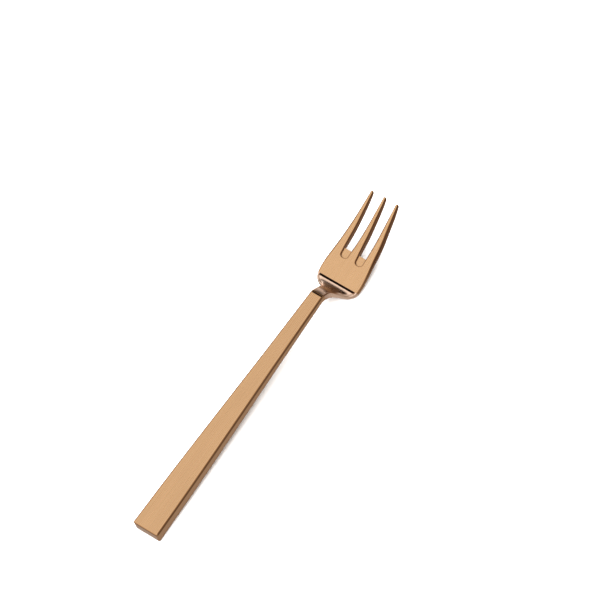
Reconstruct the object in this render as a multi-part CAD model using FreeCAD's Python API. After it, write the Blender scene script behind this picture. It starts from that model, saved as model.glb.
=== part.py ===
import FreeCAD, Part
import math
import os

# Small three-tined cocktail fork, forged in one piece.
#
# The shape is drawn first in the handle's own plane: s runs from the butt of
# the handle towards the tips, h is height above the handle's flat top, and
# y is to the left.  It is then tilted so that the butt and the back of the
# bowl both touch the table, and moved so that the origin is the centre of
# the bounding box's bottom face.  +X runs towards the tips, +Z is up.
#
# The fork is a single forging.  Its nodes are regions of that forging,
# divided by plane cuts across it, and they meet face to face.

# ---------------------------------------------------------------- dimensions
HANDLE_LEN = 104.8        # butt to the step at the neck
BUTT_HALF_W = 5.36        # half width at the butt
STEP_HALF_W = 2.56        # half width at the step
BUTT_THICK = 5.05         # thickness at the butt
STEP_THICK = 2.95         # thickness at the step
EDGE_R = 0.45             # rounding of the handle's long edges
CORNER_R = 0.70           # rounding of the butt's corners, seen from above
STEP_DROP = 0.55          # height of the step between handle top and neck
CREST_S = 113.6           # transverse crest between neck and bowl
CREST_H = -8.50
BOWL_S = 114.4            # foot of the drop from the crest
BOWL_H = -8.86
POCKET_S = 122.8          # rim of the relief at each slot's root
SLOT_S = 125.0            # where each slot goes right through
RELIEF_DEPTH = 0.65       # depth of the relief below the bowl's top
TIP_OUTER_S = 147.10      # outer tips
TIP_CENTRE_S = 147.25     # centre tip
SLOT_CORNER = 1.1         # how far the slot's root is bowed

# half width of the outline, station by station (s, half width)
HANDLE_SIDE = [(0.0, BUTT_HALF_W), (15.0, 5.11), (30.0, 4.74), (45.0, 4.28),
               (60.0, 3.80), (75.0, 3.33), (90.0, 2.92), (HANDLE_LEN, STEP_HALF_W)]
HEAD_SIDE = [(HANDLE_LEN, STEP_HALF_W), (106.5, 2.50), (108.0, 2.60), (109.0, 2.96),
             (109.7, 3.62), (110.3, 4.78), (111.0, 6.14), (111.8, 7.22), (112.6, 7.92),
             (113.6, 8.45), (114.7, 8.74), (116.0, 8.89), (118.0, 8.91), (119.8, 8.82),
             (123.1, 8.47), (126.8, 8.03), (131.8, 7.54), (136.5, 6.96), (141.2, 6.46),
             (144.0, 6.18), (146.72, 5.90)]
# inner edge of each outer tine, and edge of the centre tine
OUTER_TINE_INNER = [(121.0, 4.62), (SLOT_S, 4.70), (129.0, 4.75), (134.0, 4.76),
                    (139.0, 4.81), (143.5, 4.88), (146.72, 4.94)]
CENTRE_TINE_SIDE = [(121.0, 1.86), (SLOT_S, 1.63), (129.0, 1.39), (134.0, 1.13),
                    (139.0, 0.86), (143.5, 0.65), (146.87, 0.49)]

# top line of the section along the middle (s, h)
NECK_TOP = [(HANDLE_LEN + 0.15, -STEP_DROP), (106.0, -1.10), (107.0, -1.86),
            (108.0, -2.84), (109.0, -4.10), (110.0, -5.52), (111.0, -6.92),
            (111.7, -7.80), (112.4, -8.32), (CREST_S, CREST_H)]
BOWL_TOP = [(BOWL_S, BOWL_H), (117.0, -8.22), (119.7, -7.58), (123.0, -6.85),
            (126.8, -5.97), (130.0, -5.12), (133.0, -4.21), (136.0, -3.09),
            (139.0, -1.80), (142.0, -0.48), (145.0, 0.84), (147.3, 1.87)]
# under line of the section
BUTT_UNDER = (0.0, -BUTT_THICK)
NECK_START_UNDER = (103.0, -2.95)
UNDER = [NECK_START_UNDER, (104.4, -3.30), (105.8, -4.40), (107.0, -5.75),
         (109.0, -8.40), (110.1, -9.55), (111.2, -10.38), (112.4, -10.84),
         (113.6, -11.00), (114.6, -10.98), (117.0, -10.45), (119.7, -9.82),
         (123.0, -9.17), (126.8, -8.50), (130.0, -7.75), (133.0, -6.92),
         (136.0, -5.82), (139.0, -4.50), (142.0, -3.04), (145.0, -1.30),
         (146.4, -0.30), (147.3, 0.55)]

DENSITY_NOTE = "stainless steel, 7.9 g/cm3"


def V(s, y, h):
    return FreeCAD.Vector(s, y, h)


def spline(points):
    c = Part.BSplineCurve()
    c.interpolate(points)
    return c.toShape()


def line(a, b):
    return Part.makeLine(a, b)


def prism(edges, direction):
    w = Part.Wire(edges)
    f = Part.Face(w)
    return f.extrude(direction)


# ------------------------------------------------ prism of the side section
def side_prism():
    y0 = -12.0
    p = lambda q: V(q[0], y0, q[1])
    neck = [p(q) for q in NECK_TOP]
    bowl = [p(q) for q in BOWL_TOP]
    under = [p(q) for q in UNDER]
    a = V(0, y0, 0)
    b = V(HANDLE_LEN, y0, 0)
    c = p(BUTT_UNDER)
    edges = [line(a, b), line(b, neck[0]), spline(neck), line(neck[-1], bowl[0]),
             spline(bowl), line(bowl[-1], under[-1]), spline(under[::-1]),
             line(under[0], c), line(c, a)]
    return prism(edges, FreeCAD.Vector(0, 24, 0))


# --------------------------------------------------- prisms of the outlines
Z0, Z1 = -14.0, 6.0


def up(edges):
    return prism(edges, FreeCAD.Vector(0, 0, Z1 - Z0))


def at(q, sign=1):
    return V(q[0], sign * q[1], Z0)


def handle_plan():
    r = spline([at(q, -1) for q in HANDLE_SIDE])
    l = spline([at(q, 1) for q in HANDLE_SIDE[::-1]])
    s0, w0 = HANDLE_SIDE[0]
    s1, w1 = HANDLE_SIDE[-1]
    return up([r, line(V(s1, -w1, Z0), V(s1, w1, Z0)), l,
               line(V(s0, w0, Z0), V(s0, -w0, Z0))])


def head_plan():
    # neck, bowl and the outer sides of the outer tines, slots not yet cut
    r = spline([at(q, -1) for q in HEAD_SIDE])
    l = spline([at(q, 1) for q in HEAD_SIDE[::-1]])
    s0, w0 = HEAD_SIDE[0]
    s1, w1 = HEAD_SIDE[-1]
    return up([r, line(V(s1, -w1, Z0), V(s1, w1, Z0)), l,
               line(V(s0, w0, Z0), V(s0, -w0, Z0))])


def outer_tine_plan(sign):
    outer = [q for q in HEAD_SIDE]
    o = spline([at(q, sign) for q in outer])
    s1, wo = HEAD_SIDE[-1]
    _, wi = OUTER_TINE_INNER[-1]
    tip = Part.Arc(V(s1, sign * wo, Z0), V(TIP_OUTER_S, sign * (wo + wi) / 2, Z0),
                   V(s1, sign * wi, Z0)).toShape()
    i = spline([at(q, sign) for q in OUTER_TINE_INNER[::-1]])
    a = V(OUTER_TINE_INNER[0][0], sign * OUTER_TINE_INNER[0][1], Z0)
    b = V(OUTER_TINE_INNER[0][0], 0.0, Z0)
    c = V(HANDLE_LEN, 0.0, Z0)
    d = V(HANDLE_LEN, sign * STEP_HALF_W, Z0)
    return up([o, tip, i, line(a, b), line(b, c), line(c, d)])


def centre_tine_plan():
    s1, w1 = CENTRE_TINE_SIDE[-1]
    r = spline([at(q, -1) for q in CENTRE_TINE_SIDE])
    tip = Part.Arc(V(s1, -w1, Z0), V(TIP_CENTRE_S, 0, Z0), V(s1, w1, Z0)).toShape()
    l = spline([at(q, 1) for q in CENTRE_TINE_SIDE[::-1]])
    s0, w0 = CENTRE_TINE_SIDE[0]
    return up([r, tip, l, line(V(s0, w0, Z0), V(s0, -w0, Z0))])


def slot_plan(sign, root_s):
    # one slot's outline from its bowed root to beyond the tips
    def width(table, s):
        for (a, u), (b, v) in zip(table, table[1:]):
            if a <= s <= b:
                return u + (v - u) * (s - a) / (b - a)
        return table[-1][1]
    e = root_s + SLOT_CORNER
    yo, yi = width(OUTER_TINE_INNER, e), width(CENTRE_TINE_SIDE, e)
    a, b = V(e, sign * yo, Z0), V(e, sign * yi, Z0)
    root = Part.Arc(a, V(root_s, sign * (yo + yi) / 2, Z0), b).toShape()
    c, d = V(151.0, sign * 0.3, Z0), V(151.0, sign * 5.2, Z0)
    return up([root, line(b, c), line(c, d), line(d, a)])


def block(s0, s1):
    return Part.makeBox(s1 - s0, 30, 30, V(s0, -15, -18))


def one_solid(shape, name):
    shape = shape.removeSplitter()
    solids = sorted(shape.Solids, key=lambda k: -k.Volume)
    big = solids[0]
    if not big.isValid():
        big.fix(1e-6, 1e-6, 1e-5)
    print("%-12s solids %d  volume %8.2f mm3  valid %s"
          % (name, len(solids), big.Volume, big.isValid()))
    return big


side = side_prism()

# ------------------------------------------------------------------- handle
handle = side.common(handle_plan()).common(block(-1, HANDLE_LEN))
handle = one_solid(handle, "handle raw")
butt_corners = [e for e in handle.Edges
                if abs(e.CenterOfMass.x) < 1e-3 and abs(abs(e.CenterOfMass.y) - BUTT_HALF_W) < 1e-2]
handle = handle.makeFillet(CORNER_R, butt_corners)
rim = []
for e in handle.Edges:
    c = e.CenterOfMass
    if c.x > HANDLE_LEN - 0.01:
        continue
    lo = min(v.Point.x for v in e.Vertexes)
    hi = max(v.Point.x for v in e.Vertexes)
    zs = [v.Point.z for v in e.Vertexes]
    level = max(zs) - min(zs) < 0.6 * STEP_THICK and (hi - lo > 0.3 or abs(c.x) < 0.8)
    is_long = hi - lo > 80
    if is_long or level:
        rim.append(e)
try:
    rounded = handle.makeFillet(EDGE_R, rim)
    if rounded.isValid() and rounded.Volume > 0.9 * handle.Volume:
        handle = rounded
    else:
        print("handle edges left with corner rounding only")
except Exception as err:
    print("handle edges left with corner rounding only:", err)
handle = one_solid(handle, "handle")

# --------------------------------------------------------------------- neck
head = side.common(head_plan())
neck = one_solid(head.common(block(HANDLE_LEN, CREST_S)), "neck")

# --------------------------------------------------------------------- bowl
# the bowl runs from the crest to where the slots go through; each slot's
# root has a shallow relief in the bowl's top, just behind the slot
bowl = head.common(block(CREST_S, SLOT_S + SLOT_CORNER))
for sign in (1, -1):
    relief = slot_plan(sign, POCKET_S)
    sunk_floor = []
    p0, p1 = (119.0, -7.88), (127.5, -5.75)
    for q in (p0, p1):
        sunk_floor.append(V(q[0], -12, q[1] - RELIEF_DEPTH))
    above = prism([line(sunk_floor[0], sunk_floor[1]),
                   line(sunk_floor[1], V(127.5, -12, 6)),
                   line(V(127.5, -12, 6), V(119.0, -12, 6)),
                   line(V(119.0, -12, 6), sunk_floor[0])],
                  FreeCAD.Vector(0, 24, 0))
    bowl = bowl.cut(relief.common(above))
    bowl = bowl.cut(slot_plan(sign, SLOT_S))
bowl = one_solid(bowl, "bowl")

# -------------------------------------------------------------------- tines
beyond = block(SLOT_S + SLOT_CORNER, 152.0)
tine_left = one_solid(side.common(outer_tine_plan(1)).common(beyond), "tine_left")
tine_right = one_solid(side.common(outer_tine_plan(-1)).common(beyond), "tine_right")
tine_centre = one_solid(side.common(centre_tine_plan()).common(beyond), "tine_centre")

nodes = {"handle": handle, "neck": neck, "bowl": bowl, "tine_left": tine_left,
         "tine_centre": tine_centre, "tine_right": tine_right}

# ------------------------------------------- tilt to the table, and centre it
# the tilt is found so that butt and bowl back reach the same lowest height
def lowest(shape):
    return shape.optimalBoundingBox(False, False).ZMin if hasattr(shape, "optimalBoundingBox") else shape.BoundBox.ZMin


def tilted(shape, deg):
    t = shape.copy()
    t.rotate(FreeCAD.Vector(0, 0, 0), FreeCAD.Vector(0, 1, 0), -deg)
    return t


lo, hi = 0.0, 8.0
for _ in range(30):
    mid = (lo + hi) / 2
    a = lowest(tilted(handle, mid))
    b = min(lowest(tilted(neck, mid)), lowest(tilted(bowl, mid)))
    if b < a:
        lo = mid
    else:
        hi = mid
TILT = (lo + hi) / 2
whole = Part.makeCompound([tilted(s, TILT) for s in nodes.values()])
bb = whole.optimalBoundingBox(False, False)
shift = FreeCAD.Vector(-(bb.XMin + bb.XMax) / 2, -(bb.YMin + bb.YMax) / 2, -bb.ZMin)
print("tilt %.5f deg  shift %.5f %.5f %.5f" % (TILT, shift.x, shift.y, shift.z))
print("size %.3f %.3f %.3f" % (bb.XLength, bb.YLength, bb.ZLength))

os.makedirs("parts", exist_ok=True)
total = 0.0
for name, shape in nodes.items():
    placed = tilted(shape, TILT)
    placed.translate(shift)
    total += placed.Volume
    placed.exportStep("parts/%s.step" % name)
print("volume %.1f mm3  mass about %.1f g (%s)" % (total, total * 7.9e-3, DENSITY_NOTE))
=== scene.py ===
import bpy, bmesh, math
import numpy as np
from mathutils import Vector, Matrix
from mathutils.geometry import delaunay_2d_cdt


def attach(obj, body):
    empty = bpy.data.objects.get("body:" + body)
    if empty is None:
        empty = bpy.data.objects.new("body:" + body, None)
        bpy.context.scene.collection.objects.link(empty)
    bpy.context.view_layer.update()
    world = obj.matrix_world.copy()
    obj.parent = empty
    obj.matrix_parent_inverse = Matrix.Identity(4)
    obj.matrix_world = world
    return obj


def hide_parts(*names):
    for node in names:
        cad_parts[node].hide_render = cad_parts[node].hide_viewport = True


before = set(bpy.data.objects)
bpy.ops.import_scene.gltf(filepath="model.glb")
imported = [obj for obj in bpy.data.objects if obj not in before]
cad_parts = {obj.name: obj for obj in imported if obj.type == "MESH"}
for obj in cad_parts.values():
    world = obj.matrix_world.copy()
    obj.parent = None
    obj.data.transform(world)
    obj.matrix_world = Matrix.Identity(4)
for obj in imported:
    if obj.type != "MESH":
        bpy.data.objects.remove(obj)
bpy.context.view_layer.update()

# ----------------------------------------------------------------------------
# The fork is drawn in the handle's own plane, in millimetres: s from the butt
# to the tips, y to the left, h above the handle's flat top.  TILT and SHIFT
# are the model's own, so the mesh lands where the CAD regions are.
# ----------------------------------------------------------------------------
TILT = math.radians(3.01457)
SHIFT = (-73.52160, 0.0, 5.01071)
MM = 0.001


def to_row(p):
    """(n, 3) points from the handle's plane, in mm, to the row frame, in m."""
    p = np.asarray(p, float)
    c, t = math.cos(TILT), math.sin(TILT)
    x = p[:, 0] * c - p[:, 2] * t + SHIFT[0]
    z = p[:, 0] * t + p[:, 2] * c + SHIFT[2]
    return np.stack([x, p[:, 1] + SHIFT[1], z], 1) * MM


def cubic(points):
    """Natural cubic spline through (x, y) points."""
    x, y = np.array(points, float).T
    n = len(x)
    h = np.diff(x)
    a = np.zeros((n, n)); b = np.zeros(n)
    a[0, 0] = a[-1, -1] = 1
    for i in range(1, n - 1):
        a[i, i - 1], a[i, i], a[i, i + 1] = h[i - 1], 2 * (h[i - 1] + h[i]), h[i]
        b[i] = 6 * ((y[i + 1] - y[i]) / h[i] - (y[i] - y[i - 1]) / h[i - 1])
    m = np.linalg.solve(a, b)

    def f(q):
        q = np.asarray(q, float)
        i = np.clip(np.searchsorted(x, q) - 1, 0, n - 2)
        d = q - x[i]
        e = x[i + 1] - q
        hi = h[i]
        r = (m[i] * e ** 3 + m[i + 1] * d ** 3) / (6 * hi)
        r += (y[i] / hi - m[i] * hi / 6) * e + (y[i + 1] / hi - m[i + 1] * hi / 6) * d
        return r
    return f


def pchip(points):
    """Monotone cubic through (x, y) points, flat beyond the ends."""
    x, y = np.array(points, float).T
    h = np.diff(x); d = np.diff(y) / h
    m = np.zeros(len(x))
    for i in range(1, len(x) - 1):
        if d[i - 1] * d[i] > 0:
            w1, w2 = 2 * h[i] + h[i - 1], h[i] + 2 * h[i - 1]
            m[i] = (w1 + w2) / (w1 / d[i - 1] + w2 / d[i])
    m[0], m[-1] = d[0], d[-1]

    def f(q):
        q = np.clip(np.asarray(q, float), x[0], x[-1])
        i = np.clip(np.searchsorted(x, q) - 1, 0, len(x) - 2)
        t = (q - x[i]) / h[i]
        return ((1 + 2 * t) * (1 - t) ** 2 * y[i] + t * (1 - t) ** 2 * h[i] * m[i]
                + t * t * (3 - 2 * t) * y[i + 1] + t * t * (t - 1) * h[i] * m[i + 1])
    return f


def smooth(t):
    t = np.clip(t, 0, 1)
    return t * t * (3 - 2 * t)


# ------------------------------------------------------------------ outlines
HANDLE_SIDE = [(0.0, 5.36), (15.0, 5.11), (30.0, 4.74), (45.0, 4.28), (60.0, 3.80),
               (75.0, 3.33), (90.0, 2.92), (104.8, 2.56)]
HEAD_SIDE = [(104.8, 2.56), (106.5, 2.50), (108.0, 2.60), (109.0, 2.96),
             (109.7, 3.62), (110.3, 4.78), (111.0, 6.14), (111.8, 7.22), (112.6, 7.92),
             (113.6, 8.45), (114.7, 8.74), (116.0, 8.89), (118.0, 8.91), (119.8, 8.82),
             (123.1, 8.47), (126.8, 8.03), (131.8, 7.54), (136.5, 6.96), (141.2, 6.46),
             (144.0, 6.18), (146.72, 5.90)]
OUTER_INNER = pchip([(121.0, 4.62), (125.0, 4.70), (129.0, 4.75), (134.0, 4.76),
                     (139.0, 4.81), (143.5, 4.88), (146.72, 4.94)])
CENTRE_SIDE = cubic([(121.0, 1.86), (125.0, 1.63), (129.0, 1.39), (134.0, 1.13),
                     (139.0, 0.86), (143.5, 0.65), (146.87, 0.49)])
handle_side = cubic(HANDLE_SIDE)

_u = np.concatenate([[0], np.cumsum([math.dist(a, b) for a, b in zip(HEAD_SIDE, HEAD_SIDE[1:])])])
_hs = cubic([(u, q[0]) for u, q in zip(_u, HEAD_SIDE)])
_hy = cubic([(u, q[1]) for u, q in zip(_u, HEAD_SIDE)])
_uu = np.linspace(0, _u[-1], 6000)
_HS, _HY = _hs(_uu), _hy(_uu)


def half_width(s):
    s = np.asarray(s, float)
    return np.where(s < 104.8, handle_side(np.minimum(s, 104.8)), np.interp(s, _HS, _HY))


ROOT = 125.0          # where each slot goes right through
BOW = 1.1             # how far the slot's root is bowed
TIP_OUTER, TIP_CENTRE = 147.10, 147.25
RELIEF = 122.8        # rim of the shallow relief behind each slot

# ------------------------------------------------------------ section lines
NECK = cubic([(105.30, -0.57), (106.0, -1.04), (107.0, -1.84), (108.0, -2.84), (109.0, -4.10),
              (110.0, -5.55), (111.0, -7.00), (111.6, -7.80), (112.0, -8.20), (112.3, -8.38), (112.6, -8.455),
              (112.9, -8.485), (113.3, -8.500)])
BOWL = cubic([(114.4, -8.86), (117.0, -8.22), (119.7, -7.58), (123.0, -6.85),
              (126.8, -5.97), (130.0, -5.12), (133.0, -4.21), (136.0, -3.09),
              (139.0, -1.80), (142.0, -0.48), (145.0, 0.84), (147.3, 1.87)])
UNDER = cubic([(103.0, -2.95), (104.4, -3.30), (105.8, -4.40), (107.0, -5.75),
               (109.0, -8.40), (110.1, -9.55), (111.2, -10.38), (112.4, -10.84),
               (113.6, -11.00), (114.6, -10.98), (117.0, -10.45), (119.7, -9.82),
               (123.0, -9.17), (126.8, -8.50), (130.0, -7.75), (133.0, -6.92),
               (136.0, -5.82), (139.0, -4.50), (142.0, -3.04), (145.0, -1.30),
               (146.4, -0.30), (147.3, 0.55)])
# the step: rolled edge, drop, and a narrow land before the neck falls away
STEP = pchip([(104.05, 0.0), (104.13, -0.012), (104.20, -0.042), (104.27, -0.078), (104.34, -0.116),
              (104.41, -0.156), (104.48, -0.196), (104.54, -0.232), (104.60, -0.268), (104.65, -0.296),
              (104.70, -0.318), (104.75, -0.332), (104.80, -0.340), (104.90, -0.352), (105.02, -0.392),
              (105.16, -0.472), (105.30, -0.570)])
# the crest: a crisp turn, a short drop, and a small fillet into the bowl
CREST = pchip([(113.30, -8.50), (113.36, -8.505), (113.42, -8.522), (113.49, -8.549), (113.57, -8.583),
               (113.66, -8.622), (113.75, -8.661), (113.84, -8.700), (113.93, -8.739), (114.02, -8.778),
               (114.11, -8.815), (114.20, -8.846), (114.28, -8.864), (114.34, -8.868), (114.40, -8.860)])


def centre_top(s):
    s = np.asarray(s, float)
    z = np.zeros_like(s)
    z = np.where((s > 104.05) & (s <= 105.30), STEP(s), z)
    z = np.where((s > 105.30) & (s <= 113.30), NECK(s), z)
    z = np.where((s > 113.30) & (s <= 114.40), CREST(s), z)
    return np.where(s > 114.40, BOWL(s), z)


# the neck fans out to the shoulders: heights along its two edges
FAN_TOP = pchip([(105.3, -0.57), (107.0, -1.95), (108.0, -3.05), (109.0, -4.90), (109.7, -6.55), (110.3, -7.60),
                 (110.9, -8.15), (111.5, -8.36), (112.3, -8.46), (113.3, -8.50)])
FAN_LOW = pchip([(105.3, -4.05), (107.0, -5.80), (108.0, -7.20), (109.0, -8.80), (109.7, -9.75), (110.3, -10.25),
                 (111.0, -10.65), (111.8, -10.85), (112.6, -10.95), (113.6, -11.00)])
_ls = np.arange(108.0, 118.0, 0.03)
_lobe = np.column_stack([_ls, np.interp(_ls, _HS, _HY)])


def lobe_distance(s, y):
    """Distance from the shoulders' outline, for points near it."""
    s, y = np.atleast_1d(s), np.abs(np.atleast_1d(y))
    out = np.full(s.shape, 9.0)
    k = np.where((s > 108.5) & (s < 116.0))[0]
    if len(k):
        q = np.column_stack([s[k], y[k]])
        out[k] = np.min(np.linalg.norm(q[:, None] - _lobe[None], axis=2), axis=1)
    return out


def tine_place(s, y):
    """Centre and half width of the tine that each point is on."""
    a = np.abs(y)
    inner, outer, mid = OUTER_INNER(s), half_width(s), CENTRE_SIDE(np.clip(s, 121, 146.87))
    on_centre = a < (inner + mid) / 2
    c = np.where(on_centre, 0.0, np.sign(y) * (inner + outer) / 2)
    w = np.where(on_centre, mid, (outer - inner) / 2)
    return c, w


def top(s, y):
    s, y = np.atleast_1d(np.asarray(s, float)), np.atleast_1d(np.asarray(y, float))
    z = centre_top(s)
    hw = half_width(s)
    part = np.clip(np.abs(y) / hw, 0, 1)
    fan = (s > 105.3) & (s <= 113.3)
    z = np.where(fan, z + (FAN_TOP(s) - z) * part ** 2, z)
    # the fan stands a little proud of the shoulders' rim, and rolls off to it
    near = lobe_distance(s, y).reshape(s.shape)
    on = smooth((s - 109.6) / 2.0)
    rim = 0.36 * smooth((0.98 - near) / 0.46) * on
    roll = 0.16 * np.clip((1.9 - near) / 1.4, 0, 1) ** 2 * on
    left = np.clip((z + 8.86) / 0.36, 0, 1)          # none of the drop once down in the bowl
    keep = np.where(s > 113.3, left, 1.0)
    z = np.where((s > 105.3) & (s < 114.4), z - (rim + roll) * keep, z)
    # a very shallow trough along the bowl
    dish = 0.16 * smooth((s - 114.4) / 2.5) * smooth((126.5 - s) / 4.0)
    z = z - dish * (1 - np.clip(np.abs(y) / hw, 0, 1) ** 2)
    # crowned tines
    c, wt = tine_place(s, y)
    crown = 0.07 * smooth((s - 124.0) / 8.0)
    z = z - crown * np.clip(np.abs(y - c) / np.maximum(wt, 0.2), 0, 1) ** 2
    # the points are rounded off
    return z - 0.24 * np.clip((s - 146.1) / 1.1, 0, 1) ** 2


def bottom(s, y):
    s, y = np.atleast_1d(np.asarray(s, float)), np.atleast_1d(np.asarray(y, float))
    z = np.where(s < 103.0, -5.05 + 2.10 * s / 103.0, UNDER(np.clip(s, 103.0, 147.3)))
    hw = half_width(s)
    part = np.clip(np.abs(y) / hw, 0, 1)
    z = np.where((s > 105.3) & (s <= 113.6), z + (FAN_LOW(s) - z) * part ** 2, z)
    belly = 0.28 * smooth((s - 108.5) / 4.0) * smooth((132.0 - s) / 8.0)
    z = z + belly * np.clip(np.abs(y) / hw, 0, 1) ** 2.6
    c, wt = tine_place(s, y)
    crown = 0.06 * smooth((s - 124.0) / 8.0)
    return z + crown * np.clip(np.abs(y - c) / np.maximum(wt, 0.2), 0, 1) ** 2


# ---------------------------------------------------------- the outline loops
R_OUTER = pchip([(0, 0.62), (103.5, 0.58), (105.0, 0.45), (108.5, 0.42), (110.5, 0.40), (112.5, 0.42),
                 (114.2, 0.50), (117.0, 0.55), (125.0, 0.55), (135.0, 0.48), (142.0, 0.38), (146.72, 0.26)])
R_SLOT = pchip([(122.0, 0.22), (125.0, 0.26), (127.0, 0.32), (131.0, 0.38), (139.0, 0.36), (146.72, 0.25)])
R_CENTRE = pchip([(122.0, 0.22), (125.0, 0.26), (127.0, 0.32), (131.0, 0.38), (137.0, 0.36), (141.0, 0.32),
                  (144.0, 0.27), (146.87, 0.23)])
# the tines widen a little towards their undersides
DRAFT_OUT = pchip([(0, 0.0), (118.0, 0.0), (128.0, 0.14), (134.0, 0.20), (143.0, 0.20), (147.2, 0.12)])
DRAFT_IN = pchip([(0, 0.0), (124.0, 0.0), (129.0, 0.06), (134.0, 0.09), (143.0, 0.09), (147.2, 0.06)])
DRAFT_MID = pchip([(0, 0.0), (122.0, 0.0), (128.0, 0.10), (134.0, 0.18), (143.0, 0.18), (147.2, 0.10)])

S_HANDLE = list(np.linspace(1.15, 103.1, 78))
S_STEP = [103.6, 103.9, 104.05, 104.13, 104.20, 104.27, 104.34, 104.41, 104.48, 104.54, 104.60, 104.65, 104.70,
          104.75, 104.80, 104.85, 104.90, 104.96, 105.02, 105.09, 105.16, 105.23, 105.30]
S_NECK = list(np.arange(105.5, 112.95, 0.20)) + [113.05, 113.15, 113.24, 113.31]
S_CREST = [113.36, 113.42, 113.49, 113.57, 113.66, 113.75, 113.84, 113.93, 114.02, 114.11, 114.20, 114.28,
           114.34, 114.40, 114.46, 114.54, 114.64, 114.78, 114.95]
S_BOWL = list(np.arange(115.2, 125.6, 0.34))
S_TINE = list(np.linspace(ROOT + BOW, 145.9, 54))
S_POCKET = [124.9 - 0.3 * k for k in range(0, 4)]          # pocket sides, back to its rim
SEAM_1, SEAM_2 = 105.30, 114.34
LEDGE = 0.65

COMMON, POCKET, FLOOR = 0, 1, 2


def outline(with_pocket):
    """A closed loop, anticlockwise from above: rows of s, y, edge radius, tag."""
    pts = []

    def add(s, y, r, tag=COMMON):
        if not pts or math.dist(pts[-1][:2], (s, y)) > 0.02:
            pts.append((s, y, r, tag))
    cr = 0.70
    y0 = float(half_width(cr))
    for k in range(9):                       # right butt corner
        a = math.pi + (math.pi / 2) * k / 8
        add(cr + cr * math.cos(a), -(y0 - cr) + cr * math.sin(a), 0.46)
    side = S_HANDLE + S_STEP + S_NECK + S_CREST + S_BOWL + S_TINE + [146.15, 146.4, 146.6, 146.72]
    for s in side:
        add(s, -float(half_width(s)), float(R_OUTER(s)))

    def tip(sc, ya, yb, s_tip, r):
        n = 9
        c, w = (ya + yb) / 2, abs(yb - ya) / 2
        sg = 1 if yb > ya else -1
        for k in range(1, n):
            a = -math.pi / 2 + math.pi * k / n
            add(sc + (s_tip - sc) * math.cos(a), c + sg * w * math.sin(a), r)

    def arc(e, sgn, from_outer, tag):
        """The bowed root of a slot whose sides end at e."""
        yo, yi = float(OUTER_INNER(e)), float(CENTRE_SIDE(e))
        c, w = (yo + yi) / 2, (yo - yi) / 2
        n = 14
        for k in range(1, n):
            a = math.pi * k / n
            d = w * math.cos(a) * (1 if from_outer else -1)
            depth = (1 - min(1.0, abs(d) / w) ** 2.2) ** (1 / 2.2)
            add(e - BOW * depth, sgn * (c + d), 0.24, tag)

    def root(sgn, from_outer):
        e = ROOT + BOW
        lines = (OUTER_INNER, CENTRE_SIDE) if from_outer else (CENTRE_SIDE, OUTER_INNER)
        if not with_pocket:
            arc(e, sgn, from_outer, FLOOR)
            return
        back = [125.6, 125.3, 125.0, 124.7, 124.4, 124.1, 123.85]
        for s in back:
            add(s, sgn * float(lines[0](s)), 0.24, POCKET)
        arc(RELIEF + BOW, sgn, from_outer, POCKET)
        for s in back[::-1]:
            add(s, sgn * float(lines[1](s)), 0.24, POCKET)

    tip(146.72, -float(half_width(146.72)), -float(OUTER_INNER(146.72)), TIP_OUTER, 0.26)
    for s in [146.72, 146.6, 146.4, 146.15] + S_TINE[::-1]:
        add(s, -float(OUTER_INNER(s)), float(R_SLOT(s)))
    root(-1, True)
    for s in S_TINE + [146.15, 146.4, 146.65, 146.87]:
        add(s, -float(CENTRE_SIDE(s)), float(R_CENTRE(s)))
    tip(146.87, -float(CENTRE_SIDE(146.87)), float(CENTRE_SIDE(146.87)), TIP_CENTRE, 0.25)
    for s in [146.87, 146.65, 146.4, 146.15] + S_TINE[::-1]:
        add(s, float(CENTRE_SIDE(s)), float(R_CENTRE(s)))
    root(1, False)
    for s in S_TINE + [146.15, 146.4, 146.6, 146.72]:
        add(s, float(OUTER_INNER(s)), float(R_SLOT(s)))
    tip(146.72, float(OUTER_INNER(146.72)), float(half_width(146.72)), TIP_OUTER, 0.26)
    for s in side[::-1]:
        add(s, float(half_width(s)), float(R_OUTER(s)))
    for k in range(9):                       # left butt corner
        a = math.pi / 2 + (math.pi / 2) * k / 8
        add(cr + cr * math.cos(a), (y0 - cr) + cr * math.sin(a), 0.46)
    for y in np.linspace(y0 - cr, -(y0 - cr), 12)[1:-1]:
        add(0.0, float(y), 0.46)
    p = np.array(pts)
    if math.dist(p[0, :2], p[-1, :2]) < 0.02:
        p = p[:-1]
    return p


def inside(poly, pts):
    x, y = pts[:, 0], pts[:, 1]
    res = np.zeros(len(pts), bool)
    xj, yj = poly[-1]
    for xi, yi in poly:
        hit = (yi > y) != (yj > y)
        with np.errstate(divide="ignore", invalid="ignore"):
            cut = (xj - xi) * (y - yi) / (yj - yi) + xi
        res ^= hit & (x < cut)
        xj, yj = xi, yi
    return res


def clearance(poly, pts, closed=True):
    a = poly if closed else poly[:-1]
    b = np.roll(poly, -1, 0) if closed else poly[1:]
    best = np.full(len(pts), 1e9)
    for i in range(len(a)):
        ab = b[i] - a[i]
        t = np.clip(((pts - a[i]) @ ab) / max(ab @ ab, 1e-12), 0, 1)
        best = np.minimum(best, np.linalg.norm(pts - (a[i] + t[:, None] * ab), axis=1))
    return best


class Skin:
    def __init__(self):
        self.v, self.f, self.kind = [], [], []

    def points(self, p):
        a = len(self.v)
        self.v.extend([tuple(q) for q in np.asarray(p, float)])
        return np.arange(a, a + len(p))

    def face(self, ids, kind):
        ids = [int(i) for i in ids]
        out = [i for k, i in enumerate(ids) if i != ids[k - 1]]
        if len(out) > 2:
            self.f.append(tuple(out)); self.kind.append(kind)


skin = Skin()
SIDE, TOP, UNDERSIDE = 0, 1, 2
K = 6


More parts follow.
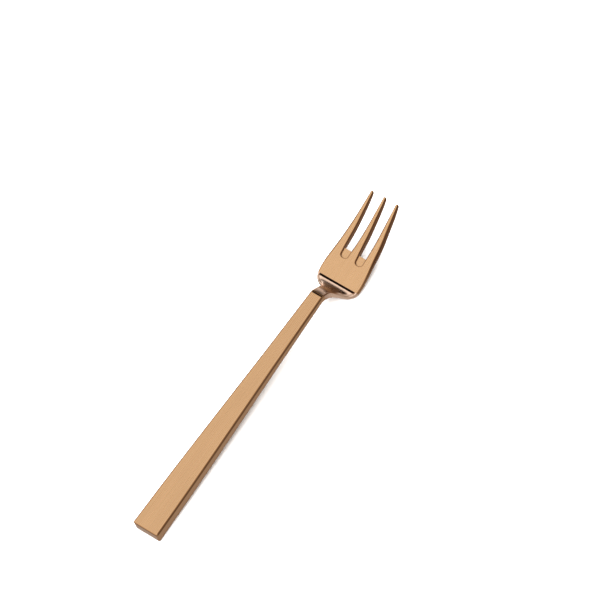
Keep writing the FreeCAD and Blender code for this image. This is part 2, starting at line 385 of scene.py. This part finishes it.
def rings_of(loop, flat_gap):
    P = loop[:, :2]
    t = np.roll(P, -1, 0) - np.roll(P, 1, 0)
    t /= np.linalg.norm(t, axis=1)[:, None]
    n = np.stack([-t[:, 1], t[:, 0]], 1)
    r = loop[:, 2]
    out = []
    for k in range(K + 1):
        a = (math.pi / 2) * k / K
        out.append((P + n * (r * (1 - math.cos(a)))[:, None], r * (1 - math.sin(a))))
    gap = np.where(loop[:, 0] > 140, 0.035, flat_gap)
    out.append((P + n * (r + gap)[:, None], np.zeros(len(P))))
    return out


def drafted(loop):
    P = loop[:, :2]
    t = np.roll(P, -1, 0) - np.roll(P, 1, 0)
    t /= np.linalg.norm(t, axis=1)[:, None]
    out = loop.copy()
    a = np.abs(P[:, 1])
    d = np.where(a < 3.2, DRAFT_MID(P[:, 0]), np.where(a < 5.2, DRAFT_IN(P[:, 0]), DRAFT_OUT(P[:, 0])))
    out[:, :2] = P - np.stack([-t[:, 1], t[:, 0]], 1) * d[:, None]
    out[:, 0] = np.minimum(out[:, 0], 147.25)
    out[:, 2] *= 0.8
    return out


def sheet(loop, height, sign, kind):
    """The top or the underside within a loop: rolled edge, then a filled face.
    Returns the outermost ring's vertex numbers."""
    if sign < 0:
        loop = drafted(loop)
    rings = rings_of(loop, 0.07)
    ids = []
    for P, drop in rings:
        ids.append(skin.points(np.column_stack([P, height(P[:, 0], P[:, 1]) - sign * drop])))
    n = len(loop)
    for a, b in zip(ids[1:], ids):
        for i in range(n):
            j = (i + 1) % n
            q = (a[i], b[i], b[j], a[j])
            skin.face(q if sign > 0 else q[::-1], SIDE)
    inner = rings[-1][0]
    rows, gap = [], []
    stations = S_HANDLE + S_STEP + S_NECK + S_CREST + S_BOWL + S_TINE + [146.15, 146.4, 146.6, 146.8]
    for s in stations:
        if s < 103.2:
            step = 1.15
        elif s < 115.0:
            step = 0.30 if sign > 0 else 0.5
        elif s < 125.6:
            step = 0.34
        else:
            step = 0.30
        w = float(half_width(s))
        m = int(round(2 * w / step))
        ys = np.linspace(-w, w, m + 1)
        if 103.5 < s < 115.0:
            ys = np.arange(-30, 31) * step
            ys = ys[np.abs(ys) < w]
        for y in ys:
            rows.append((s, y)); gap.append(0.35 * step if s < 103.2 or s > 115 else 0.08)
    rows, gap = np.array(rows), np.array(gap)
    ok = inside(inner, rows); rows, gap = rows[ok], gap[ok]
    if sign > 0:
        # close rows that follow the shoulders' outline
        line = _lobe[(_lobe[:, 0] > 109.3) & (_lobe[:, 0] < 114.1)][::6]
        t = np.gradient(line, axis=0); t /= np.linalg.norm(t, axis=1)[:, None]
        nrm = np.stack([t[:, 1], -t[:, 0]], 1)
        more = np.vstack([line + nrm * d for d in (0.56, 0.64, 0.72, 0.80, 0.88, 0.96, 1.05)])
        more = more[(more[:, 0] < 113.0)]
        more = more[np.abs(lobe_distance(more[:, 0], more[:, 1])) > 0.5]
        more = np.vstack([more, more * [1, -1]])
        more = more[inside(inner, more)]
        far = np.array([np.min(np.linalg.norm(more - q, axis=1)) for q in rows])
        keep = (far > 0.09) | (rows[:, 0] > 113.0)
        rows, gap = rows[keep], gap[keep]
        rows = np.vstack([rows, more]); gap = np.concatenate([gap, np.full(len(more), 0.05)])
    rows = rows[clearance(inner, rows) > gap]
    verts = [Vector(p) for p in inner] + [Vector(p) for p in rows]
    cuts = []
    for s in sorted(set(np.round(rows[:, 0], 6))):
        if sign > 0 and (103.9 < s < 105.4 or 113.0 < s < 114.8):
            k = np.where(np.abs(rows[:, 0] - s) < 1e-5)[0]
            k = k[np.argsort(rows[k, 1])]
            cuts += [(n + int(a), n + int(b)) for a, b in zip(k, k[1:])]
    ov, _, of_, orv, _, orf = delaunay_2d_cdt(verts, cuts, [list(range(n))], 0, 1e-7, True)
    back = [o[0] for o in orv]
    assert len(ov) == len(verts)
    use = np.concatenate([ids[-1], skin.points(np.column_stack([rows, height(rows[:, 0], rows[:, 1])]))])
    for f, o in zip(of_, orf):
        if o:
            q = [use[back[i]] for i in f]
            skin.face(q if sign > 0 else q[::-1], kind)
    return ids[0]


loop_t = outline(True)
loop_b = outline(False)
top_edge = sheet(loop_t, top, 1, TOP)
low_edge = sheet(loop_b, bottom, -1, UNDERSIDE)

# the side walls, column by column
key = {}
for i, p in enumerate(loop_t):
    if p[3] == COMMON:
        key[(round(p[0], 4), round(p[1], 4))] = i
match = {j: key[(round(p[0], 4), round(p[1], 4))] for j, p in enumerate(loop_b) if p[3] == COMMON}
nt, nb = len(loop_t), len(loop_b)
V3 = lambda i: np.array(skin.v[int(i)])


def ledge_height(s, y):
    return top(s, y) - LEDGE


# the level at the middle of every column, exactly the ledge's level in the slots
column = {}
least = 9
for j, i in match.items():
    hi, lo = V3(top_edge[i]), V3(low_edge[j])
    least = min(least, hi[2] - lo[2])
    s, y = loop_b[j, :2]
    near_slot = ROOT + BOW - 0.01 < s < 135 and abs(y) < 5.0
    levels = []
    if near_slot:
        m = float(ledge_height(s, y)[0]); m1 = (hi[2] + m) / 2
        zs = [m1, m, m + (lo[2] - m) * 0.5]
    else:
        zs = [hi[2] + (lo[2] - hi[2]) * t for t in (0.25, 0.5, 0.75)]
    dx, dy = V3(low_edge[j])[:2] - loop_b[j, :2]
    ks = [(hi[2] - z) / (hi[2] - lo[2]) for z in zs]
    if near_slot:
        ks = [0, 0, 0.5]
    ids = skin.points([(s + dx * q, y + dy * q, z) for q, z in zip(ks, zs)])
    column[j] = [top_edge[i], *ids, low_edge[j]]
print("least side wall %.3f" % least)
for j in range(nb):
    k = (j + 1) % nb
    if j in column and k in column and abs(match[j] - match[k]) in (1, nt - 1):
        for a0, a1, b0, b1 in zip(column[j], column[j][1:], column[k], column[k][1:]):
            skin.face((a0, a1, b1, b0), SIDE)

# the shallow ledge at the root of each slot
for side in (-1, 1):
    js = [j for j in range(nb) if loop_b[j, 3] == FLOOR and loop_b[j, 1] * side > 0]
    j0, j1 = js[0] - 1, js[-1] + 1                    # the columns either side of the root
    i0, i1 = match[j0], match[j1]
    pocket = list(range(i0 + 1, i1))
    # wall of the pocket, from its rim down to the ledge
    mids, lows = [], []
    P = loop_t[pocket][:, :2]
    zl = ledge_height(P[:, 0], P[:, 1])
    low = skin.points(np.column_stack([P, zl]))
    rim_ids = [column[j0][0]] + [top_edge[i] for i in pocket] + [column[j1][0]]
    mid_z = [(V3(top_edge[i])[2] + z) / 2 for i, z in zip(pocket, zl)]
    mid = skin.points(np.column_stack([P, mid_z]))
    mid_ids = [column[j0][1]] + list(mid) + [column[j1][1]]
    low_ids = [column[j0][2]] + list(low) + [column[j1][2]]
    for a, b in ((rim_ids, mid_ids), (mid_ids, low_ids)):
        for q in range(len(a) - 1):
            skin.face((a[q], b[q], b[q + 1], a[q + 1]), SIDE)
    # front of the ledge, down to the underside's edge
    F = loop_b[js][:, :2]
    zf = ledge_height(F[:, 0], F[:, 1]) - 0.16
    lip = skin.points(np.column_stack([F, zf]))
    zb = np.array([V3(low_edge[j])[2] for j in js])
    half = skin.points(np.column_stack([F, (zf + zb) / 2]))
    a = [column[j0][2]] + list(lip) + [column[j1][2]]
    b = [column[j0][3]] + list(half) + [column[j1][3]]
    c = [column[j0][4]] + [low_edge[j] for j in js] + [column[j1][4]]
    for u_, v_ in ((a, b), (b, c)):
        for q in range(len(u_) - 1):
            skin.face((u_[q], v_[q], v_[q + 1], u_[q + 1]), SIDE)
    # the ledge's face
    ring = low_ids + list(lip[::-1])
    plan = np.array([V3(i)[:2] for i in ring])
    s_all = np.arange(RELIEF + 0.15, ROOT + BOW, 0.16)
    g = np.array([(s, side * y) for s in s_all for y in np.arange(1.5, 4.9, 0.17)])
    g = g[inside(plan, g)]
    g = g[clearance(plan, g) > 0.07]
    front = F
    extra = []
    for d in (0.03, 0.075, 0.13, 0.19):
        q = F[1:-1] - np.array([d, 0])
        extra.append(q)
    extra = np.vstack(extra)
    extra = extra[inside(plan, extra)]
    extra = extra[clearance(plan, extra) > 0.02]
    far = clearance(extra, g, closed=False) if False else np.min(np.linalg.norm(g[:, None] - extra[None], axis=2), axis=1)
    g = g[far > 0.07]
    g = np.vstack([g, extra])
    d = clearance(front, g, closed=False)
    fall = 0.16 * np.clip(1 - d / 0.16, 0, 1) ** 2
    gz = ledge_height(g[:, 0], g[:, 1]) - fall
    gi = skin.points(np.column_stack([g, gz]))
    verts = [Vector(p) for p in plan] + [Vector(p) for p in g]
    ov, _, of_, orv, _, orf = delaunay_2d_cdt(verts, [], [list(range(len(plan)))], 0, 1e-7, True)
    assert len(ov) == len(verts)
    use = np.concatenate([np.array(ring), gi])
    for f, o in zip(of_, orf):
        if o:
            skin.face([use[orv[i][0]] for i in f], SIDE)

V = np.array(skin.v)


# ------------------------------------------------------------ separate pieces
def make_piece(name, lo, hi):
    """The part of the skin between two cuts, closed with a cap at each cut."""
    mids = np.array([V[list(f), 0].mean() for f in skin.f])
    chosen = [i for i in range(len(skin.f)) if lo <= mids[i] < hi]
    used = sorted({v for i in chosen for v in skin.f[i]})
    new = {v: k for k, v in enumerate(used)}
    me = bpy.data.meshes.new(name)
    co = to_row(V[used])
    faces = [tuple(new[v] for v in skin.f[i]) for i in chosen]
    me.from_pydata([tuple(c) for c in co], [], faces)
    at = me.attributes.new("zone", "INT", "FACE")
    at.data.foreach_set("value", [skin.kind[i] for i in chosen])
    me.update()
    ob = bpy.data.objects.new(name, me)
    bpy.context.scene.collection.objects.link(ob)
    bm = bmesh.new(); bm.from_mesh(me)
    bmesh.ops.recalc_face_normals(bm, faces=bm.faces)
    zone = bm.faces.layers.int.get("zone")
    border = [e for e in bm.edges if e.is_boundary]
    if border:
        r = bmesh.ops.holes_fill(bm, edges=border, sides=0)
        cap = r["faces"]
        for f in cap:
            f[zone] = 3
        bmesh.ops.poke(bm, faces=cap)          # a fan from the cap's middle
    bmesh.ops.recalc_face_normals(bm, faces=bm.faces)
    if bm.calc_volume(signed=True) < 0:
        bmesh.ops.reverse_faces(bm, faces=bm.faces)
    bm.to_mesh(me); bm.free()
    return ob


def finish_mesh(ob, angle=48):
    me = ob.data
    bm = bmesh.new(); bm.from_mesh(me)
    for e in bm.edges:
        e.smooth = not (len(e.link_faces) == 2 and e.calc_face_angle(0) > math.radians(angle))
    for f in bm.faces:
        f.smooth = True
    open_edges = sum(1 for e in bm.edges if len(e.link_faces) != 2)
    vol = bm.calc_volume(signed=True)
    bm.to_mesh(me); bm.free()
    print("%s: %d faces, %d open edges, volume %.1f mm3" % (ob.name, len(me.polygons), open_edges, vol * 1e9))


# ------------------------------------------------------------------ materials
def node(tree, kind, **kw):
    n = tree.nodes.new(kind)
    for k, v in kw.items():
        setattr(n, k, v)
    return n


def brushed(name, colour, rough, streak, bump, mottle):
    """Metal brushed along X: fine and broad streaks, faint mottling, small bump."""
    m = bpy.data.materials.new(name)
    m.use_nodes = True
    t = m.node_tree
    b = t.nodes["Principled BSDF"]
    b.inputs["Metallic"].default_value = 1.0
    co = node(t, "ShaderNodeTexCoord")
    link = t.links.new

    def noise(scale, size, detail, w=0.0):
        mp = node(t, "ShaderNodeMapping")
        mp.inputs["Scale"].default_value = scale
        mp.inputs["Location"].default_value = (w, w * 1.7, w * 0.6)
        n = node(t, "ShaderNodeTexNoise")
        n.inputs["Scale"].default_value = size
        n.inputs["Detail"].default_value = detail
        n.inputs["Roughness"].default_value = 0.6
        link(co.outputs["Object"], mp.inputs["Vector"])
        link(mp.outputs["Vector"], n.inputs["Vector"])
        return n.outputs["Fac"]

    fine = noise((28.0, 5200.0, 900.0), 1.0, 3.0)
    broad = noise((16.0, 1300.0, 500.0), 1.0, 2.0, 3.1)
    cloud = noise((45.0, 160.0, 90.0), 1.0, 3.0, 7.7)

    def math_node(op, a, b_):
        n = node(t, "ShaderNodeMath", operation=op)
        for k, v in enumerate((a, b_)):
            if hasattr(v, "links"):
                link(v, n.inputs[k])
            else:
                n.inputs[k].default_value = v
        return n.outputs[0]

    mix = math_node("ADD", math_node("MULTIPLY", fine, 0.55), math_node("MULTIPLY", broad, 0.45))
    dev = math_node("SUBTRACT", mix, 0.5)
    tone = math_node("ADD", math_node("MULTIPLY", dev, streak),
                     math_node("MULTIPLY", math_node("SUBTRACT", cloud, 0.5), mottle))
    gain = math_node("ADD", tone, 1.0)
    col = node(t, "ShaderNodeVectorMath", operation="SCALE")
    col.inputs[0].default_value = colour
    link(gain, col.inputs["Scale"])
    link(col.outputs[0], b.inputs["Base Color"])
    r = math_node("ADD", math_node("MULTIPLY", dev, 0.16), rough)
    link(r, b.inputs["Roughness"])
    bp = node(t, "ShaderNodeBump")
    bp.inputs["Strength"].default_value = bump
    bp.inputs["Distance"].default_value = 0.00002
    link(mix, bp.inputs["Height"])
    link(bp.outputs["Normal"], b.inputs["Normal"])
    return m


def polished(name, colour, rough, wave=0.06, pale=None, over=(0.0, 1.0), haze=0.0):
    """Buffed metal: nearly a mirror, with a faint haze and soft unevenness.

    pale is the colour it fades to between the two x in over, where it is also hazier. Fading to a lighter tone
    paints in a highlight; fading to a darker one paints in shade."""
    m = bpy.data.materials.new(name)
    m.use_nodes = True
    t = m.node_tree
    b = t.nodes["Principled BSDF"]
    b.inputs["Metallic"].default_value = 1.0
    link = t.links.new
    co = node(t, "ShaderNodeTexCoord")
    n = node(t, "ShaderNodeTexNoise")
    n.inputs["Scale"].default_value = 260.0
    n.inputs["Detail"].default_value = 3.0
    link(co.outputs["Object"], n.inputs["Vector"])
    mp = node(t, "ShaderNodeMapRange")
    mp.inputs["To Min"].default_value = 0.94
    mp.inputs["To Max"].default_value = 1.06
    link(n.outputs["Fac"], mp.inputs["Value"])
    col = node(t, "ShaderNodeVectorMath", operation="SCALE")
    col.inputs[0].default_value = colour
    link(mp.outputs[0], col.inputs["Scale"])
    link(col.outputs[0], b.inputs["Base Color"])
    mr = node(t, "ShaderNodeMapRange")
    mr.inputs["To Min"].default_value = rough - 0.03
    mr.inputs["To Max"].default_value = rough + 0.03
    link(n.outputs["Fac"], mr.inputs["Value"])
    link(mr.outputs[0], b.inputs["Roughness"])
    # the fade along x is painted light: a painted highlight where the tone gets lighter, painted shade where it
    # gets darker
    if pale is not None:
        sep = node(t, "ShaderNodeSeparateXYZ")
        link(co.outputs["Object"], sep.inputs[0])
        far = node(t, "ShaderNodeMapRange")
        far.interpolation_type = "SMOOTHSTEP"
        far.inputs["From Min"].default_value = over[0]
        far.inputs["From Max"].default_value = over[1]
        link(sep.outputs["X"], far.inputs["Value"])
        fade = node(t, "ShaderNodeVectorMath", operation="MULTIPLY_ADD")
        fade.inputs[1].default_value = tuple(p - c for p, c in zip(pale, colour))
        fade.inputs[2].default_value = colour
        link(far.outputs[0], fade.inputs[0])
        link(fade.outputs[0], col.inputs[0])
        more = node(t, "ShaderNodeMath", operation="MULTIPLY_ADD")
        more.inputs[1].default_value = haze
        link(far.outputs[0], more.inputs[0])
        link(mr.outputs[0], more.inputs[2])
        link(more.outputs[0], b.inputs["Roughness"])
    bp = node(t, "ShaderNodeBump")
    bp.inputs["Strength"].default_value = wave
    bp.inputs["Distance"].default_value = 0.00005
    link(n.outputs["Fac"], bp.inputs["Height"])
    link(bp.outputs["Normal"], b.inputs["Normal"])
    return m


ROSE = (0.630, 0.397, 0.214)
satin = brushed("satin_rose_gold", ROSE, 0.27, 0.34, 0.25, 0.10)
_x = [float(to_row([(s, 0.0, h)])[0, 0]) for s, h in ((105.6, -0.8), (108.4, -3.3), (113.32, -8.5))]
# The neck's own pinker polished rose gold, lightened from s 105.6 to 108.4 towards a pale tone: the lightening
# is a painted highlight standing in for the fan's brighter reflection.
polish_and_painted_highlight = polished("polished_rose_gold", (0.66, 0.44, 0.32), 0.11, 0.02, (0.98, 0.74, 0.58), (_x[0], _x[1]), 0.17)
crest = polished("crest_rose_gold", (0.74, 0.465, 0.325), 0.06, 0.03)
_y = [float(to_row([(s, 0.0, h)])[0, 0]) for s, h in ((115.0, -8.9), (128.0, -5.6))]
# Polished rose gold for the sides, darkened from s 115 to 128 to a deep brown: the darkening is painted shade
# along the tine sides.
edge = polished("edge_rose_gold_painted_shade", (0.560, 0.330, 0.170), 0.13, 0.03, (0.260, 0.122, 0.050), (_y[0], _y[1]))

PIECES = [("fork_handle", -10.0, SEAM_1, ("handle",), "satin_rose_gold"),
          ("fork_neck", SEAM_1, SEAM_2, ("neck",), "polished_rose_gold"),
          ("fork_head", SEAM_2, 200.0, ("bowl", "tine_left", "tine_centre", "tine_right"), "satin_rose_gold")]
for name, lo, hi, nodes, slot in PIECES:
    ob = make_piece(name, lo, hi)
    finish_mesh(ob)
    me = ob.data
    first, second = (polish_and_painted_highlight, crest) if name == "fork_neck" else (satin, edge)
    me.materials.append(first)
    me.materials.append(second)
    zone = [0] * len(me.polygons)
    me.attributes["zone"].data.foreach_get("value", zone)
    step = to_row([(104.10, 0.0, 0.0)])[0, 0]
    for p, z in zip(me.polygons, zone):
        # faces on the second material: the polished sides, painted darker towards the tines, and the handle's
        # step; on the neck, the crest
        bright = z == SIDE or (name == "fork_handle" and z == TOP and p.center.x > step)
        if name == "fork_neck":
            bright = z == TOP and p.center.x > _x[2]
        p.material_index = 1 if bright else 0
    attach(ob, "root")
    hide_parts(*nodes)

# --------------------------------------------------------------------- floor
fl = bpy.data.meshes.new("floor")
fl.from_pydata([(-3, -3, 0), (3, -3, 0), (3, 3, 0), (-3, 3, 0)], [], [(0, 1, 2, 3)])
floor = bpy.data.objects.new("floor", fl)
bpy.context.scene.collection.objects.link(floor)
fm = bpy.data.materials.new("floor_white"); fm.use_nodes = True
fm.node_tree.nodes["Principled BSDF"].inputs["Base Color"].default_value = (0.92, 0.92, 0.92, 1)
fm.node_tree.nodes["Principled BSDF"].inputs["Roughness"].default_value = 0.9
fl.materials.append(fm)

# -------------------------------------------------------------------- camera
# rows: image right, image down, view direction, in the handle's plane
CAM_R = np.array([[0.5715, -0.7983, -0.1899], [-0.7817, -0.4592, -0.4220], [0.2497, 0.3896, -0.8865]])
CAM_AIM = np.array([99.3574, 3.6436, 0.0])
CAM_DIST = 2000.0
CAM_SCALE = 2.848477   # pixels per mm at the aim
u, _, vt = np.linalg.svd(CAM_R)
CAM_R = u @ vt
CAM_AIM = CAM_AIM - (0.23 * CAM_R[0] + 0.17 * CAM_R[1]) / CAM_SCALE


def turn(v):
    c, t = math.cos(TILT), math.sin(TILT)
    return Vector((v[0] * c - v[2] * t, v[1], v[0] * t + v[2] * c))


right, down, ahead = (turn(r) for r in CAM_R)
aim = Vector(to_row(CAM_AIM[None])[0])
cam = bpy.data.cameras.new("camera")
camera = bpy.data.objects.new("camera", cam)
bpy.context.scene.collection.objects.link(camera)
camera.matrix_world = Matrix(((right.x, -down.x, -ahead.x, 0), (right.y, -down.y, -ahead.y, 0),
                              (right.z, -down.z, -ahead.z, 0), (0, 0, 0, 1)))
camera.location = aim - ahead * (CAM_DIST * MM)
cam.sensor_width = 36
cam.lens = CAM_SCALE * CAM_DIST / 600 * 36
cam.clip_start, cam.clip_end = 0.1, 20
bpy.context.scene.camera = camera

# -------------------------------------------------------------------- lights
# A large soft ceiling, dark walls near the horizon and a pale table: the
# ceiling fades out towards the horizon, and the world below it stands for the
# table as the metal sees it.
scene = bpy.context.scene
scene.view_settings.view_transform = "Standard"
scene.view_settings.look = "None"
floor.visible_glossy = False

world = bpy.data.worlds.new("world"); scene.world = world
world.use_nodes = True
wt = world.node_tree
bg = wt.nodes["Background"]
tc = node(wt, "ShaderNodeTexCoord")


def patch(centre, inner_deg, outer_deg, strength):
    """A soft-edged bright patch of the surroundings, round a direction."""
    c = Vector(centre).normalized()
    d = node(wt, "ShaderNodeVectorMath", operation="DOT_PRODUCT")
    wt.links.new(tc.outputs["Generated"], d.inputs[0])
    d.inputs[1].default_value = c
    m = node(wt, "ShaderNodeMapRange", interpolation_type="SMOOTHSTEP")
    m.inputs["From Min"].default_value = math.cos(math.radians(outer_deg))
    m.inputs["From Max"].default_value = math.cos(math.radians(inner_deg))
    m.inputs["To Max"].default_value = strength
    wt.links.new(d.outputs["Value"], m.inputs["Value"])
    return m.outputs[0]


PATCHES = [((-0.26, 0.50, 0.85), 26, 50, 1.04),      # the ceiling, over the left shoulder
           ((0.66, 0.72, 0.12), 12, 23, 1.25),       # a soft box beyond the head
           ((1.0, 0.35, -0.42), 20, 36, 0.60),       # the far end of the table
           ((-0.2, 0.0, -1.0), 42, 64, 0.40),        # the table
           ((0.15, 0.0, -1.0), 8, 24, -0.28),        # and the fork's own shade on it
           ((0.10, -0.65, 0.75), 25, 55, 0.13),      # the dim side of the room
           ((-0.60, -0.60, 0.50), 20, 42, 0.42),
           ((0.78, -0.55, 0.42), 12, 28, 0.42),
           ((-1.0, 0.1, 0.40), 18, 42, 0.12)]
AMBIENT = (0.125, 0.070, 0.030)                      # a dim, warm room
GLOOM = ((0.80, 0.38, 0.44), 16, 30, 0.95)           # its darkest corner, beyond the tips
total = None
for p in PATCHES:
    o = patch(*p)
    if total is None:
        total = o
    else:
        ad = node(wt, "ShaderNodeMath", operation="ADD")
        wt.links.new(total, ad.inputs[0]); wt.links.new(o, ad.inputs[1])
        total = ad.outputs[0]
gl = patch(*GLOOM)
grey = node(wt, "ShaderNodeCombineColor")
for k in range(3):
    am = node(wt, "ShaderNodeMath", operation="MULTIPLY_ADD")
    wt.links.new(gl, am.inputs[0])
    am.inputs[1].default_value = -AMBIENT[k]
    am.inputs[2].default_value = AMBIENT[k]
    ad = node(wt, "ShaderNodeMath", operation="ADD")
    wt.links.new(total, ad.inputs[0])
    wt.links.new(am.outputs[0], ad.inputs[1])
    wt.links.new(ad.outputs[0], grey.inputs[k])
path = node(wt, "ShaderNodeLightPath")
mx = node(wt, "ShaderNodeMix", data_type="RGBA")
wt.links.new(path.outputs["Is Camera Ray"], mx.inputs["Factor"])
wt.links.new(grey.outputs[0], mx.inputs[6])
mx.inputs[7].default_value = (1, 1, 1, 1)
wt.links.new(mx.outputs[2], bg.inputs[0])
bg.inputs[1].default_value = 1.0


def area(name, loc, target, size, power, seen=False):
    l = bpy.data.lights.new(name, "AREA"); l.size = size; l.energy = power
    o = bpy.data.objects.new(name, l); scene.collection.objects.link(o)
    o.location = loc
    d = (Vector(target) - Vector(loc)).normalized()
    o.rotation_euler = d.to_track_quat("-Z", "Y").to_euler()
    o.visible_glossy = seen
    return o


area("table_fill", (-0.15, 0.35, 1.5), (0, 0, 0), 2.8, 120)
